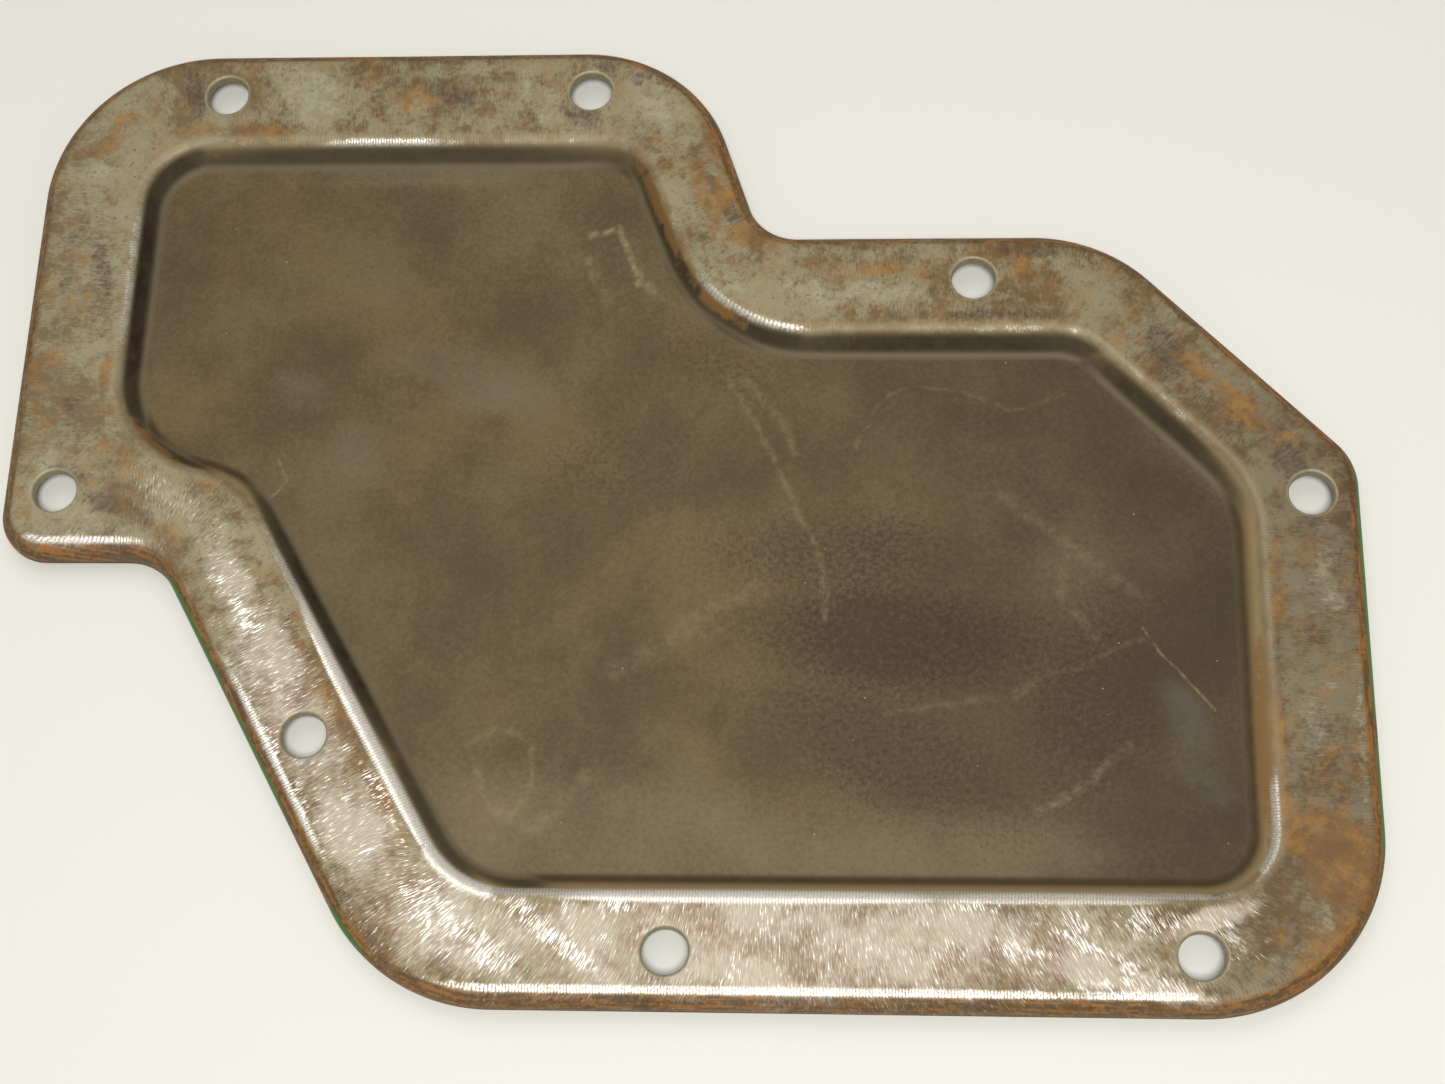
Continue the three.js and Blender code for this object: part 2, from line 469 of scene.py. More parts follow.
class Sheet:
    """Vertices in millimetres, faces and the part of the sheet that each face belongs to."""

    def __init__(self):
        self.points = []
        self.faces = []
        self.outside = []

    def add(self, points):
        first = len(self.points)
        self.points.extend(points)
        return list(range(first, len(self.points)))

    def band(self, ring_a, ring_b, outside):
        """Quads between two rings, facing up or outwards when ring_a is the inner one."""
        size = len(ring_a)
        for i in range(size):
            j = (i + 1) % size
            self.faces.append((ring_a[i], ring_b[i], ring_b[j], ring_a[j]))
            self.outside.append(outside)

    def flat(self, loops, height, spacing, upward, outside):
        """A flat patch between loops[0], the outer one, and any inner loops, on a fine mesh."""
        shapes = [np.array([self.points[i][:2] for i in loop], dtype=np.float32).astype(float)
                  for loop in loops]
        low, high = shapes[0].min(axis=0), shapes[0].max(axis=0)
        grid = []
        for row, y in enumerate(np.arange(low[1], high[1], spacing * math.sqrt(3) / 2)):
            offset = spacing / 2 * (row % 2)
            grid.extend((x + offset, y) for x in np.arange(low[0], high[0], spacing))
        grid = np.array(grid)
        keep = inside(grid, shapes[0])
        for shape in shapes[1:]:
            keep &= ~inside(grid, shape)
        grid = grid[keep]
        for shape in shapes:
            grid = grid[nearest_on(grid, shape)[0] > 0.55 * spacing]

        edges, flat_points, known = [], [], []
        for loop, shape in zip(loops, shapes):
            first = len(flat_points)
            size = len(loop)
            flat_points.extend(shape.tolist())
            known.extend(loop)
            edges.extend((first + i, first + (i + 1) % size) for i in range(size))
        known.extend(self.add([(x, y, height) for x, y in grid]))
        flat_points.extend(grid.tolist())

        vectors = [Vector(point) for point in flat_points]
        made, _, faces, sources, _, _ = delaunay_2d_cdt(vectors, edges, [], 0, 1e-6)
        made = np.array(made, dtype=float)
        centres = made[np.array(faces)].mean(axis=1)
        keep = inside(centres, shapes[0])
        for shape in shapes[1:]:
            keep &= ~inside(centres, shape)
        for face, kept in zip(faces, keep):
            if kept:
                corners = [known[sources[i][0]] for i in face]
                self.faces.append(tuple(corners if upward else reversed(corners)))
                self.outside.append(outside)


def bend(first, last, steps=BEND_STEPS):
    return np.linspace(first, last, steps + 1)


def wall_section(mouth_radius, floor_radius):
    """The recess wall from the mouth inwards, as (inset from the mouth, height)."""
    mouth_centre = GASKET_FACE - MOUTH_BEND
    floor_centre = FLOOR_TOP + FLOOR_BEND
    section = [(mouth_radius * math.sin(a), mouth_centre + mouth_radius * math.cos(a))
               for a in bend(0, WALL_ANGLE)]
    floor = [(WALL_RUN - floor_radius * math.sin(a), floor_centre - floor_radius * math.cos(a))
             for a in bend(WALL_ANGLE, 0)]
    (x0, z0), (x1, z1) = section[-1], floor[0]
    wall = [(x0 + (x1 - x0) * share, z0 + (z1 - z0) * share) for share in (1 / 3, 2 / 3)]
    return section + wall + floor


def lip_section(radius):
    """The turned-down rim from the gasket face outwards, as (inset from the rim, height)."""
    inset = LIP_BEND - radius
    centre = GASKET_FACE - LIP_BEND
    section = [(inset + radius * (1 - math.sin(a)), centre + radius * math.cos(a))
               for a in bend(0, math.pi / 2)]
    return section + [(inset, (centre + LIP_EDGE) / 2), (inset, LIP_EDGE)]


def hole_ring(sheet, centre, radius, height):
    angles = np.linspace(0, 2 * math.pi, HOLE_SIDES, endpoint=False)
    points = [(centre[0] + radius * math.cos(a), centre[1] + radius * math.sin(a), height) for a in angles]
    return sheet.add(points)


def build_sheet():
    """The whole pressing: both faces of the sheet, its rim edge and the walls of its bolt holes."""
    sheet = Sheet()

    def ring(corners, inset, height):
        return sheet.add([(x, y, height) for x, y in outline(corners, inset)])

    def rings(corners, section):
        return [ring(corners, inset, height) for inset, height in section]

    wall_top = rings(MOUTH_CORNERS, wall_section(MOUTH_BEND, FLOOR_BEND))
    lip_top = rings(RIM_CORNERS, lip_section(LIP_BEND))
    lip_under = rings(RIM_CORNERS, lip_section(LIP_BEND - SHEET))
    wall_under = rings(MOUTH_CORNERS, wall_section(MOUTH_BEND - SHEET, FLOOR_BEND + SHEET))

    for upper, lower in zip(wall_top, wall_top[1:]):
        sheet.band(lower, upper, False)
    for inner, outer in zip(lip_top, lip_top[1:]):
        sheet.band(inner, outer, False)
    sheet.band(lip_top[-1], lip_under[-1], True)
    for inner, outer in zip(lip_under, lip_under[1:]):
        sheet.band(outer, inner, True)
    for upper, lower in zip(wall_under, wall_under[1:]):
        sheet.band(upper, lower, True)

    top_holes, under_holes = [], []
    for centre in BOLT_HOLES:
        rolled = [hole_ring(sheet, centre, HOLE_RADIUS + HOLE_ROLLOVER * (1 - math.sin(a)),
                            GASKET_FACE - HOLE_ROLLOVER * (1 - math.cos(a)))
                  for a in bend(0, math.pi / 2, 5)]
        bottom = hole_ring(sheet, centre, HOLE_RADIUS, FLANGE_UNDER)
        for outer, inner in zip(rolled, rolled[1:] + [bottom]):
            sheet.band(inner, outer, False)
        top_holes.append(rolled[0])
        under_holes.append(bottom)

    sheet.flat([lip_top[0], wall_top[0]] + top_holes, GASKET_FACE, FLANGE_SPACING, True, False)
    sheet.flat([wall_top[-1]], FLOOR_TOP, FLOOR_SPACING, True, False)
    sheet.flat([lip_under[0], wall_under[0]] + under_holes, FLANGE_UNDER, 2 * FLANGE_SPACING, False, True)
    sheet.flat([wall_under[-1]], FLOOR_UNDER, 2 * FLOOR_SPACING, False, True)
    return sheet


# ------------------------------------------------------------------ measures kept on the mesh

def patches(points, table):
    """How strongly each point lies in any of a table's patches."""
    strongest = np.zeros(len(points))
    for x, y, half_length, half_width, degrees, strength in table:
        angle = math.radians(degrees)
        dx, dy = points[:, 0] - x, points[:, 1] - y
        length = (dx * math.cos(angle) + dy * math.sin(angle)) / half_length
        width = (dy * math.cos(angle) - dx * math.sin(angle)) / half_width
        share = np.clip(1.6 - np.hypot(length, width), 0, 1.2) / 1.2
        strongest = np.maximum(strongest, strength * share * share * (3 - 2 * share))
    return strongest


def surface_measures(points):
    """Values that the materials read at each vertex, in millimetres or as shares."""
    plan = points[:, :2]
    rim, mouth = outline(RIM_CORNERS, 0), outline(MOUTH_CORNERS, 0)
    from_rim = nearest_on(plan, rim)[0]
    from_mouth = nearest_on(plan, mouth)[0] * np.where(inside(plan, mouth), -1, 1)
    from_hole = np.min([np.hypot(*(plan - centre).T) for centre in BOLT_HOLES], axis=0) - HOLE_RADIUS
    along, total = nearest_on(plan, (rim + mouth) / 2)[1:]
    across = (from_mouth - from_rim) / 2 + (GASKET_FACE - points[:, 2])
    lean = np.interp(plan[:, 0], *zip(*SANDING_LEAN)) * (plan[:, 1] < BOTTOM_FLANGE)
    turn = (along - lean * across) / total * 2 * math.pi
    radius = total / (2 * math.pi)
    return {
        "from_rim": from_rim,
        "from_mouth": from_mouth,
        "from_hole": from_hole,
        "along": along,
        "grain": np.stack([radius * np.cos(turn), radius * np.sin(turn), across], axis=1),
        "rust": patches(plan, RUST),
        "residue": patches(plan, RESIDUE),
        "stain": patches(plan, STAIN),
        "rubbed_and_highlight": patches(plan, RUBBED_AND_HIGHLIGHT),
        "painted_glint": patches(plan, PAINTED_GLINT),
        "painted_shade": patches(plan, PAINTED_SHADE),
        "polish_and_highlight": patches(plan, POLISH_AND_HIGHLIGHT),
        "paint": patches(plan, PAINT),
        "maroon": patches(plan, MAROON),
        "blue_grey_sheen": patches(plan, BLUE_GREY_SHEEN),
        "haze_and_sheen": patches(plan, HAZE_AND_SHEEN),
    }


def keep_measure(mesh, name, values):
    if values.ndim == 2:
        layer = mesh.attributes.new(name, "FLOAT_VECTOR", "POINT")
        layer.data.foreach_set("vector", values.astype(np.float32).ravel())
    else:
        layer = mesh.attributes.new(name, "FLOAT", "POINT")
        layer.data.foreach_set("value", values.astype(np.float32))


def settle(points):
    """The slight unevenness of a pressed sheet: the flange dips, the floor rises, both under 0.3 mm."""
    level = np.clip((points[:, 2] - FLOOR_UNDER) / (FLANGE_UNDER - FLOOR_UNDER), 0, 1)
    waves = np.array([noise.noise((x / WAVE_SIZE, y / WAVE_SIZE, 0)) for x, y in points[:, :2]])
    amount = np.clip(0.5 + waves, 0, 1)
    dip = np.where(level > 0.5, -FLANGE_DIP, FLOOR_RISE) * np.abs(2 * level - 1)
    settled = points.copy()
    settled[:, 2] += dip * amount
    return settled


def cover_object(sheet):
    mesh = bpy.data.meshes.new("cover_pressing")
    points = settle(np.array(sheet.points, dtype=float))
    mesh.from_pydata((points * MM).tolist(), [], sheet.faces)
    for name, values in surface_measures(points).items():
        keep_measure(mesh, name, values)
    mesh.polygons.foreach_set("use_smooth", [True] * len(mesh.polygons))
    mesh.polygons.foreach_set("material_index", [int(outside) for outside in sheet.outside])
    mesh.set_sharp_from_angle(angle=math.radians(40))
    mesh.update()
    cover = bpy.data.objects.new("cover_pressing", mesh)
    bpy.context.scene.collection.objects.link(cover)
    return cover


# ------------------------------------------------------------------ shader nodes

def screen(red, green, blue):
    """A colour given as 0 to 255 screen values, as linear light."""
    return tuple(((c / 255 + 0.055) / 1.055) ** 2.4 for c in (red, green, blue)) + (1.0,)


BROWN = screen(108, 84, 52)
OLIVE_GREY = screen(148, 138, 108)
PURPLE_BROWN = screen(78, 60, 50)
GREY_GREEN = screen(146, 146, 116)
PALE_GREY = screen(168, 164, 140)
RUST_BROWN = screen(122, 88, 46)
ORANGE = screen(156, 113, 52)
RUST_TINT = screen(148, 112, 62)
# Rubbed steel, lighter also as a painted highlight, and the silver of its painted glints.
PINK_STEEL = screen(152, 131, 112)
BEIGE_STEEL = screen(178, 167, 148)
SILVER = screen(230, 227, 220)
# Wear and painted sheen on the bend of the recess edge.
CREST_GREY = screen(146, 130, 100)
# Painted highlight on the recess edge and the rim's bend.
CREST_HIGHLIGHT_STEEL = screen(230, 226, 217)
LIP_BROWN = screen(86, 64, 40)
LIP_ORANGE = screen(150, 100, 48)
DARK_EDGE = screen(60, 46, 32)
GREEN = screen(72, 118, 44)
DARK_GREEN = screen(52, 92, 36)
# Painted shade on the recess wall.
WALL_PAINTED_SHADE = screen(46, 36, 24)
WALL_BROWN = screen(104, 84, 54)
# Painted light on the sides of the recess wall that face the light.
WALL_PAINTED_LIGHT = screen(172, 150, 110)
WALL_OLIVE = screen(110, 98, 72)
WALL_RUST = screen(144, 106, 60)
# Painted highlight and painted light on the bolt hole edges and walls.
HOLE_BROWN = screen(142, 126, 94)
HOLE_GREY = screen(190, 180, 152)
FLOOR_DARK = screen(80, 65, 39)
FLOOR_OLIVE = screen(102, 88, 57)
FLOOR_BROWN = screen(109, 89, 56)
# Pale haze on the floor, partly painted sheen.
FLOOR_PALE = screen(136, 118, 92)
FLOOR_RIGHT = screen(52, 41, 27)
MAROON_BROWN = screen(56, 36, 25)
# Grey-blue smears on the floor, with painted sheen.
FLOOR_GREY = screen(112, 110, 92)
RUB_TAN = screen(172, 160, 120)
DUST = screen(190, 186, 170)
GRIME = screen(70, 60, 44)


class Shader:
    """A material, with one short method for each kind of node it is made of. Lengths are in mm."""

    def __init__(self, name):
        self.material = bpy.data.materials.new(name)
        self.material.use_nodes = True
        self.tree = self.material.node_tree
        self.surface = self.tree.nodes["Principled BSDF"]
        place = self.tree.nodes.new("ShaderNodeTexCoord").outputs["Object"]
        self.place = self.scaled(place, (1 / MM, 1 / MM, 1 / MM))

    def put(self, socket, value):
        if isinstance(value, bpy.types.NodeSocket):
            self.tree.links.new(value, socket)
        else:
            socket.default_value = value

    def node(self, kind, inputs, output, **settings):
        node = self.tree.nodes.new(kind)
        for name, value in settings.items():
            setattr(node, name, value)
        for key, value in inputs.items():
            self.put(node.inputs[key], value)
        return node.outputs[output]

    def measure(self, name, output="Fac"):
        return self.node("ShaderNodeAttribute", {}, output, attribute_name=name)

    def math(self, operation, a, b=0.0, clamp=False):
        return self.node("ShaderNodeMath", {0: a, 1: b}, 0, operation=operation, use_clamp=clamp)

    def plus(self, a, b):
        return self.math("ADD", a, b)

    def times(self, a, b):
        return self.math("MULTIPLY", a, b)

    def either(self, a, b):
        return self.math("MAXIMUM", a, b)

    def vector(self, operation, a, b, output=0):
        return self.node("ShaderNodeVectorMath", {0: a, 1: b}, output, operation=operation)

    def scaled(self, vector, factors):
        return self.vector("MULTIPLY", vector, factors)

    def coordinate(self, axis):
        return self.node("ShaderNodeSeparateXYZ", {0: self.place}, axis)

    def noise(self, where, size, detail=3.0, roughness=0.55):
        return self.node("ShaderNodeTexNoise", {"Vector": where, "Scale": 1 / size, "Detail": detail,
                                                "Roughness": roughness}, 0)

    def step(self, value, low, high):
        """0 below low and 1 above high, or the other way round where low is the larger."""
        if low < high:
            return self.node("ShaderNodeMapRange", {0: value, 1: low, 2: high, 3: 0.0, 4: 1.0}, 0,
                             interpolation_type="SMOOTHSTEP")
        return self.node("ShaderNodeMapRange", {0: value, 1: high, 2: low, 3: 1.0, 4: 0.0}, 0,
                         interpolation_type="SMOOTHSTEP")

    def near(self, value, centre, half_width):
        """1 at the centre, falling to 0 at half_width on both sides."""
        return self.step(self.math("ABSOLUTE", self.plus(value, -centre)), half_width, 0.25 * half_width)

    def mix(self, share, a, b):
        return self.node("ShaderNodeMix", {0: share, 6: a, 7: b}, 2, data_type="RGBA")

    def between(self, share, a, b):
        return self.node("ShaderNodeMix", {0: share, 2: a, 3: b}, 0, data_type="FLOAT")

    def ragged(self, amount, wobble, reach, low=0.4, high=0.62):
        """A soft patch turned into one with an irregular edge."""
        moved = self.plus(amount, self.times(self.plus(wobble, -0.5), reach))
        return self.step(moved, low, high)

    def patch(self, name, wobble, stroke):
        """A table's patches, with broken and grainy edges."""
        grain = self.plus(self.times(wobble, 0.75), self.times(stroke, 0.25))
        return self.ragged(self.measure(name), grain, 4.5, 0.35, 0.95)

    def layer(self, look, share, over):
        """A look is (colour, metallic, roughness); over covers it by share."""
        return (self.mix(share, look[0], over[0]), self.between(share, look[1], over[1]),
                self.between(share, look[2], over[2]))

    def finish(self, look, height, depth):
        colour, metallic, roughness = look
        self.put(self.surface.inputs["Base Color"], colour)
        self.put(self.surface.inputs["Metallic"], metallic)
        self.put(self.surface.inputs["Roughness"], roughness)
        self.surface.inputs["Specular IOR Level"].default_value = SHEEN_LEVEL
        bump = self.node("ShaderNodeBump", {"Height": height, "Distance": depth * MM, "Strength": 1.0}, 0)
        self.put(self.surface.inputs["Normal"], bump)
        return self.material


# ------------------------------------------------------------------ bare inside: flange, wall, floor, lip

def strokes(shader, width, length):
    """Marks of one width and length that run across the flange, from its sanding."""
    grain = shader.measure("grain", "Vector")
    return shader.noise(shader.scaled(grain, (1 / width, 1 / width, 1 / length)), 1.0, 2.0, 0.5)


def flange_look(shader, fine, blotch, stroke):
    """Mottled brown and grey, browner on the right, with residue, stain, rust, and rubbed steel lightened by
    painted highlights.
    """
    mottle = shader.noise(shader.place, 3.2, 5, 0.7)
    tone = shader.plus(shader.times(blotch, 0.42), shader.times(mottle, 0.30))
    tone = shader.plus(tone, shader.plus(shader.times(stroke, 0.14), shader.times(fine, 0.14)))
    colour = shader.mix(shader.step(tone, 0.43, 0.56), BROWN, OLIVE_GREY)
    across = shader.coordinate("X")
    colour = shader.mix(shader.times(shader.step(across, 80, 155), 0.45), colour, PURPLE_BROWN)
    colour = shader.mix(shader.times(shader.step(across, -80, -150), 0.12), colour, PALE_GREY)
    wash = shader.step(shader.noise(shader.place, 7.5, 6, 0.72), 0.50, 0.66)
    colour = shader.mix(shader.times(wash, 0.4), colour, RUST_TINT)
    look = (colour, 0.2, shader.between(stroke, 0.46, 0.62))
    broken = shader.step(shader.noise(shader.place, 1.8, 5, 0.75), 0.40, 0.58)
    wide = strokes(shader, 0.7, 5)
    residue = shader.patch("residue", shader.noise(shader.place, 6.5, 7, 0.75), wide)
    grey = shader.mix(shader.step(blotch, 0.42, 0.6), GREY_GREEN, PALE_GREY)
    look = shader.layer(look, shader.times(residue, shader.between(broken, 0.1, 0.6)), (grey, 0.15, 0.5))
    stain = shader.patch("stain", shader.noise(shader.place, 8, 7, 0.75), wide)
    stain = shader.times(stain, shader.between(broken, 0.8, 0.4))
    look = shader.layer(look, stain, (PURPLE_BROWN, 0.25, 0.5))
    rusty = shader.noise(shader.place, 9, 7, 0.75)
    rust = shader.patch("rust", rusty, fine)
    orange = shader.mix(shader.step(rusty, 0.45, 0.62), RUST_BROWN, ORANGE)
    look = shader.layer(look, shader.times(rust, shader.between(broken, 0.85, 0.5)), (orange, 0.0, 0.72))
    freckle = shader.step(shader.noise(shader.place, 1.6, 3, 0.6), 0.60, 0.72)
    look = shader.layer(look, shader.times(freckle, 0.5), (PURPLE_BROWN, 0.1, 0.6))
    return bright_look(shader, look, blotch, stroke)


def bright_look(shader, look, blotch, stroke):
    """Where the patina is rubbed off, lighter also as a painted highlight, with painted glints along the
    sanding marks.
    """
    patchy = shader.noise(shader.place, 12, 4, 0.6)
    rubbed = shader.plus(shader.times(patchy, 0.65), shader.times(stroke, 0.35))
    rubbed_and_highlight = shader.ragged(shader.measure("rubbed_and_highlight"), rubbed, 2.1, 0.25, 0.95)
    marks = shader.plus(stroke, shader.times(shader.plus(shader.noise(shader.place, 5, 3, 0.6), -0.5), 0.35))
    # Painted glints: silver strokes of lower roughness, denser in the listed clusters.
    clusters = shader.ragged(shader.measure("painted_glint"), shader.noise(shader.place, 3, 4, 0.7), 1.6, 0.2, 1.0)
    painted_glint = shader.step(shader.plus(shader.times(clusters, 0.15), marks), 0.60, 0.75)
    steel = shader.mix(shader.step(patchy, 0.38, 0.58), PINK_STEEL, BEIGE_STEEL)
    steel = shader.mix(shader.times(shader.step(stroke, 0.42, 0.62), 0.25), steel, SILVER)
    steel = shader.mix(painted_glint, steel, SILVER)
    shown = shader.step(shader.measure("rubbed_and_highlight"), 0.1, 0.45)
    share = shader.either(shader.times(rubbed_and_highlight, 0.9), shader.times(painted_glint, shown))
    return shader.layer(look, share, (steel, 0.7, shader.between(painted_glint, 0.6, 0.44)))


def hole_look(shader, look, fine):
    """The rolled edge and the cut wall of each bolt hole, paler with a painted highlight on the edge and
    painted light on the wall.
    """
    edge = shader.step(shader.measure("from_hole"), 1.0, 0.3)
    return shader.layer(look, shader.times(edge, 0.75), (shader.mix(fine, HOLE_BROWN, HOLE_GREY), 0.3, 0.5))


def crest_look(shader, look, fine, grit):
    """The recess edge and the start of the rim's bend, rubbed by handling and paler with painted sheen, with
    a painted highlight band and painted highlight beads along the chatter.
    """
    from_mouth = shader.measure("from_mouth")
    # A paler band over the bend: wear and painted sheen.
    wear_and_sheen = shader.near(from_mouth, -1.4, 2.6)
    look = shader.layer(look, shader.times(wear_and_sheen, 0.45), (CREST_GREY, 0.3, 0.5))
    # Painted highlight band on the recess edge and along the start of the rim's bend; painted highlight beads
    # follow the chatter ripples.
    broad = shader.times(shader.near(from_mouth, -1.1, 2.6), shader.step(shader.measure("polish_and_highlight"), 1.0, 1.3))
    crest = shader.either(shader.near(from_mouth, -1.9, 1.3), broad)
    rim = shader.near(shader.measure("from_rim"), LIP_BEND - 0.1, 1.3)
    polish_and_highlight = shader.ragged(shader.measure("polish_and_highlight"), shader.noise(shader.place, 4, 4, 0.7), 1.6, 0.25, 0.9)
    ripple = shader.plus(shader.times(chatter(shader, fine), 0.12), grit)
    bead = shader.step(ripple, 0.38, 0.60)
    bead = shader.between(bead, shader.between(broad, 0.25, 0.6), 1.0)
    share = shader.times(shader.times(shader.either(crest, rim), polish_and_highlight), bead)
    return shader.layer(look, share, (CREST_HIGHLIGHT_STEEL, shader.between(broad, 0.85, 0.4), 0.34))


def lip_look(shader, look, fine):
    """The turned-down rim: brown and rusty, dark along its lower edge, with traces of green paint."""
    from_rim = shader.measure("from_rim")
    lip = shader.step(from_rim, LIP_BEND - 0.5, LIP_BEND - 1.6)
    grain = shader.scaled(shader.measure("grain", "Vector"), (1 / 8, 1 / 8, 1 / 1.1))
    streak = shader.plus(shader.times(shader.noise(grain, 1, 4), 0.6), shader.times(fine, 0.4))
    brown = shader.mix(shader.step(streak, 0.44, 0.58), LIP_BROWN, LIP_ORANGE)
    bare = shader.step(shader.noise(shader.place, 16, 5, 0.7), 0.40, 0.52)
    look = shader.layer(look, shader.times(lip, shader.between(bare, 0.35, 0.85)), (brown, 0.1, 0.6))
    low = shader.step(shader.coordinate("Z"), LIP_EDGE + 1.4, LIP_EDGE + 0.4)
    look = shader.layer(look, shader.times(low, 0.75), (DARK_EDGE, 0.1, 0.7))
    reach = shader.step(from_rim, 1.5, 0.7)
    painted = shader.ragged(shader.times(shader.measure("paint"), reach), streak, 1.2, 0.35, 0.5)
    return shader.layer(look, painted, (shader.mix(fine, GREEN, DARK_GREEN), 0.0, 0.45))


def wall_look(shader, look):
    """Dark halfway down the shaded sides as painted shade; tan from painted light on the lit ones, with a
    dark foot of grime and painted shade; rust on both.
    """
    from_mouth = shader.measure("from_mouth")
    wall = shader.step(from_mouth, -1.8, -3.4)
    shaded = shader.step(shader.measure("painted_shade"), 0.2, 0.7)
    # Lit and shaded sides get different colours: on the lit sides painted light rises from brown at the foot
    # to pale tan.
    lit = shader.mix(shader.step(from_mouth, -6.0, -2.6), WALL_BROWN, WALL_PAINTED_LIGHT)
    surface = (shader.mix(shaded, lit, WALL_OLIVE), 0.1, 0.6)
    uneven = shader.between(shader.noise(shader.place, 4, 4, 0.7), 0.55, 1.2)
    # Painted shade: a dark band halfway down the shaded sides, and a dark line along the foot that is grime
    # and painted shade.
    dark = shader.times(shader.measure("painted_shade"), shader.near(from_mouth, -4.2, 2.7))
    foot = shader.times(shader.near(from_mouth, -6.2, 1.9), shader.between(shaded, 0.8, 0.3))
    dark = shader.times(shader.either(dark, foot), uneven)
    surface = shader.layer(surface, shader.times(dark, 0.9), (WALL_PAINTED_SHADE, 0.1, 0.65))
    rust = shader.patch("rust", shader.noise(shader.place, 6, 5, 0.65), 0.5)
    rust = shader.times(rust, shader.step(from_mouth, -5.9, -3.6))
    surface = shader.layer(surface, shader.times(rust, 0.75), (WALL_RUST, 0.0, 0.7))
    return shader.layer(look, wall, surface)


def rub_marks(shader):
    """How strongly each point of the floor lies on a rub mark."""
    drift = shader.plus(shader.noise(shader.place, 9, 3), -0.5)
    sway = shader.node("ShaderNodeCombineXYZ", {0: shader.times(drift, 5.0), 1: shader.times(drift, -4.0)}, 0)
    waver = shader.vector("ADD", shader.place, sway)
    flat = shader.scaled(waver, (1, 1, 0))
    total = 0.0
    for width, strength, corners in RUBS:
        nearest = 1000.0
        for (x0, y0), (x1, y1) in zip(corners, corners[1:]):
            edge = (x1 - x0, y1 - y0, 0)
            gap = shader.vector("SUBTRACT", flat, (x0, y0, 0))
            dot = shader.vector("DOT_PRODUCT", gap, edge, "Value")
            share = shader.math("MULTIPLY", dot, 1 / (edge[0] ** 2 + edge[1] ** 2), clamp=True)
            foot = shader.node("ShaderNodeVectorMath", {0: edge, "Scale": share}, 0, operation="SCALE")
            nearest = shader.math("MINIMUM", nearest, shader.vector("DISTANCE", gap, foot, "Value"))
        mark = shader.times(shader.step(nearest, width, 0.0), strength)
        total = shader.either(total, mark)
    patchy = shader.step(shader.noise(shader.place, 3.0, 5, 0.75), 0.34, 0.70)
    return shader.times(total, patchy)


def floor_look(shader, look, fine, blotch):
    """The oily recess floor: clouded brown, darker on the right, with tints, rub marks and dust; the pale
    haze and grey-blue smears are partly painted sheen.
    """
    floor = shader.step(shader.measure("from_mouth"), -6.2, -WALL_RUN)
    cloud = shader.noise(shader.place, 34, 7, 0.6)
    rolled = shader.noise(shader.scaled(shader.place, (1 / 1.2, 1 / 22, 1)), 1.0, 3, 0.6)
    tone = shader.plus(shader.times(cloud, 0.65), shader.times(fine, 0.28))
    tone = shader.plus(tone, shader.times(rolled, 0.07))
    region = shader.step(shader.noise(shader.place, 55, 3, 0.5), 0.42, 0.58)
    olive = shader.mix(region, FLOOR_OLIVE, FLOOR_BROWN)
    colour = shader.mix(shader.step(tone, 0.34, 0.64), FLOOR_DARK, olive)
    across = shader.coordinate("X")
    colour = shader.mix(shader.times(shader.step(across, 5, 145), 0.7), colour, FLOOR_RIGHT)
    surface = (colour, 0.1, shader.between(cloud, 0.56, 0.68))

    # Pale haze: film and painted sheen.
    haze_wobble = shader.plus(shader.times(cloud, 0.6), shader.times(fine, 0.4))
    haze_and_sheen = shader.ragged(shader.measure("haze_and_sheen"), haze_wobble, 2.4, -0.2, 1.6)
    surface = shader.layer(surface, shader.times(haze_and_sheen, 0.6), (FLOOR_PALE, 0.1, 0.6))
    speck = shader.plus(shader.times(shader.noise(shader.place, 1.3, 4, 0.75), 0.6), shader.times(cloud, 0.4))
    red = shader.ragged(shader.measure("maroon"), speck, 4.0, 0.2, 1.3)
    surface = shader.layer(surface, shader.times(red, 0.85), (MAROON_BROWN, 0.1, 0.62))
    # Grey-blue smears with painted sheen.
    mist = shader.plus(shader.times(blotch, 0.6), shader.times(cloud, 0.4))
    blue = shader.ragged(shader.measure("blue_grey_sheen"), mist, 3.0, 0.1, 1.6)
    surface = shader.layer(surface, shader.times(blue, 0.4), (FLOOR_GREY, 0.15, 0.55))
    surface = shader.layer(surface, shader.times(rub_marks(shader), 0.6), (RUB_TAN, 0.1, 0.6))

    dust = shader.node("ShaderNodeTexVoronoi", {"Vector": shader.place, "Scale": 1 / 9}, "Distance")
    surface = shader.layer(surface, shader.times(shader.step(dust, 0.03, 0.015), 0.5), (DUST, 0.0, 0.8))
    return shader.layer(look, floor, surface)


def chatter(shader, fine):
    """Fine ripples along a bend, from the pressing tool, between -1 and 1."""
    along = shader.times(shader.measure("along"), 2 * math.pi / CHATTER_PITCH)
    return shader.math("SINE", shader.plus(along, shader.times(fine, 2.5)))


def inside_relief(shader, fine, stroke):
    """Height of the fine relief, as a share of RELIEF: sanding marks, rust grain and chatter."""
    edge = shader.near(shader.measure("from_mouth"), -0.6, 2.2)
    rim = shader.near(shader.measure("from_rim"), LIP_BEND - 0.3, 2.0)
    ripples = shader.times(chatter(shader, fine), shader.times(shader.either(edge, rim), 0.45))
    flange = shader.step(shader.measure("from_mouth"), -2.5, 0.5)
    sanding = shader.times(stroke, flange)
    return shader.plus(shader.plus(sanding, ripples), shader.times(fine, 0.35))


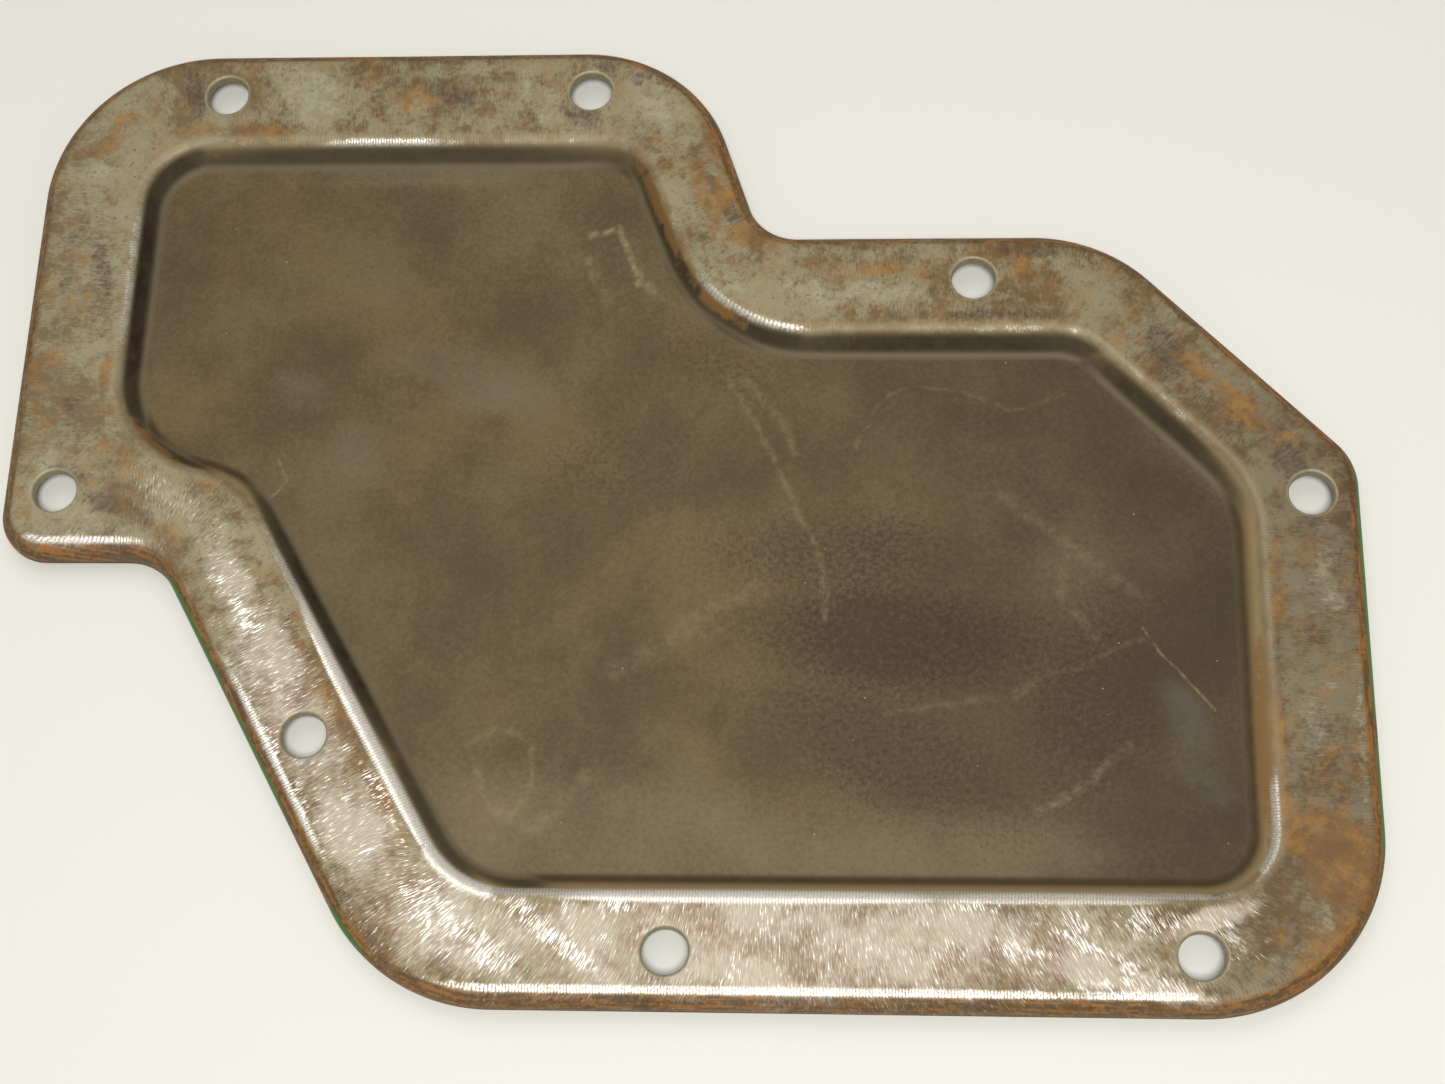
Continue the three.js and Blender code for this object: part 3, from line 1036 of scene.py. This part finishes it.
def inside_material():
    shader = Shader("bare_inside")
    fine = shader.noise(shader.place, 1.1, 4, 0.65)
    blotch = shader.noise(shader.place, 16, 5, 0.6)
    stroke = strokes(shader, STROKE_WIDTH, STROKE_LENGTH)
    grit = shader.noise(shader.place, 0.5, 2, 0.6)
    look = flange_look(shader, fine, blotch, stroke)
    look = hole_look(shader, look, fine)
    look = crest_look(shader, look, fine, grit)
    look = lip_look(shader, look, fine)
    look = wall_look(shader, look)
    look = floor_look(shader, look, fine, blotch)
    return shader.finish(look, inside_relief(shader, fine, stroke), RELIEF)


# ------------------------------------------------------------------ painted outside

def outside_material():
    shader = Shader("painted_outside")
    fade = shader.noise(shader.place, 30, 4)
    fine = shader.noise(shader.place, 1.0, 3)
    look = (shader.mix(fade, GREEN, DARK_GREEN), 0.0, shader.between(fade, 0.35, 0.5))
    grime = shader.step(shader.noise(shader.place, 18, 6, 0.65), 0.5, 0.7)
    look = shader.layer(look, shader.times(grime, 0.45), (GRIME, 0.0, 0.75))
    chips = shader.noise(shader.place, 5, 6, 0.7)
    edge = shader.step(shader.measure("from_rim"), 4.0, 0.5)
    hole = shader.step(shader.measure("from_hole"), 2.5, 0.2)
    wear_and_sheen = shader.plus(chips, shader.times(shader.either(edge, hole), 0.22))
    bare = shader.step(wear_and_sheen, 0.66, 0.69)
    look = shader.layer(look, bare, (shader.mix(fine, RUST_BROWN, ORANGE), 0.1, 0.75))
    relief = shader.plus(shader.times(shader.noise(shader.place, 0.8, 2), 0.25),
                         shader.times(shader.step(wear_and_sheen, 0.69, 0.65), 1.0))
    return shader.finish(look, relief, PAINT_RELIEF)


sheet = build_sheet()
cover = cover_object(sheet)
cover.data.materials.append(inside_material())
cover.data.materials.append(outside_material())
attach(cover, "root")
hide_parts(NODE)


# ------------------------------------------------------------------ stage, light and camera

def stage():
    mesh = bpy.data.meshes.new("pale_floor")
    corners = [(x * STAGE_HALF, y * STAGE_HALF, 0) for x, y in ((-1, -1), (1, -1), (1, 1), (-1, 1))]
    mesh.from_pydata(corners, [], [(0, 1, 2, 3)])
    floor = bpy.data.objects.new("pale_floor", mesh)
    bpy.context.scene.collection.objects.link(floor)
    material = bpy.data.materials.new("pale_floor")
    material.use_nodes = True
    shader = material.node_tree.nodes["Principled BSDF"]
    shader.inputs["Base Color"].default_value = (0.82, 0.81, 0.76, 1)
    shader.inputs["Roughness"].default_value = 0.7
    mesh.materials.append(material)


def area_light(name, place, size, power, colour):
    """A round soft light that points at the middle of the cover."""
    data = bpy.data.lights.new(name, "AREA")
    data.shape = "DISK"
    data.size = size
    data.energy = power
    data.color = colour
    light = bpy.data.objects.new(name, data)
    light.location = place
    light.rotation_euler = (-Vector(place)).to_track_quat("-Z", "Y").to_euler()
    bpy.context.scene.collection.objects.link(light)
    return light


def make_camera():
    data = bpy.data.cameras.new("camera")
    data.lens = CAMERA_LENS
    data.sensor_width = SENSOR_WIDTH
    data.clip_start = 0.01
    camera = bpy.data.objects.new("camera", data)
    world_to_camera = (Matrix.Rotation(CAMERA_ROLL, 3, "Z") @ Matrix.Rotation(CAMERA_YAW, 3, "Y")
                       @ Matrix.Rotation(CAMERA_PITCH, 3, "X"))
    camera.matrix_world = Matrix.Translation(CAMERA_PLACE) @ world_to_camera.transposed().to_4x4()
    bpy.context.scene.collection.objects.link(camera)
    bpy.context.scene.camera = camera


def make_light():
    world = bpy.data.worlds.new("studio")
    world.use_nodes = True
    sky = world.node_tree.nodes["Background"]
    sky.inputs["Color"].default_value = SKY_COLOUR
    sky.inputs["Strength"].default_value = SKY_STRENGTH
    bpy.context.scene.world = world
    area_light("front", (0.084, -0.38, 0.96), 0.3, 7.6, (1.0, 0.99, 0.95))
    back = area_light("back", (-0.26, 0.33, 1.3), 0.3, 5.0, (1.0, 0.99, 0.98))
    back.visible_diffuse = False
    fill = area_light("fill", (-0.1, 0.6, 1.2), 1.0, 3.2, (1.0, 0.99, 0.97))
    fill.visible_glossy = False
    bpy.context.scene.view_settings.view_transform = "Standard"


stage()
make_camera()
make_light()
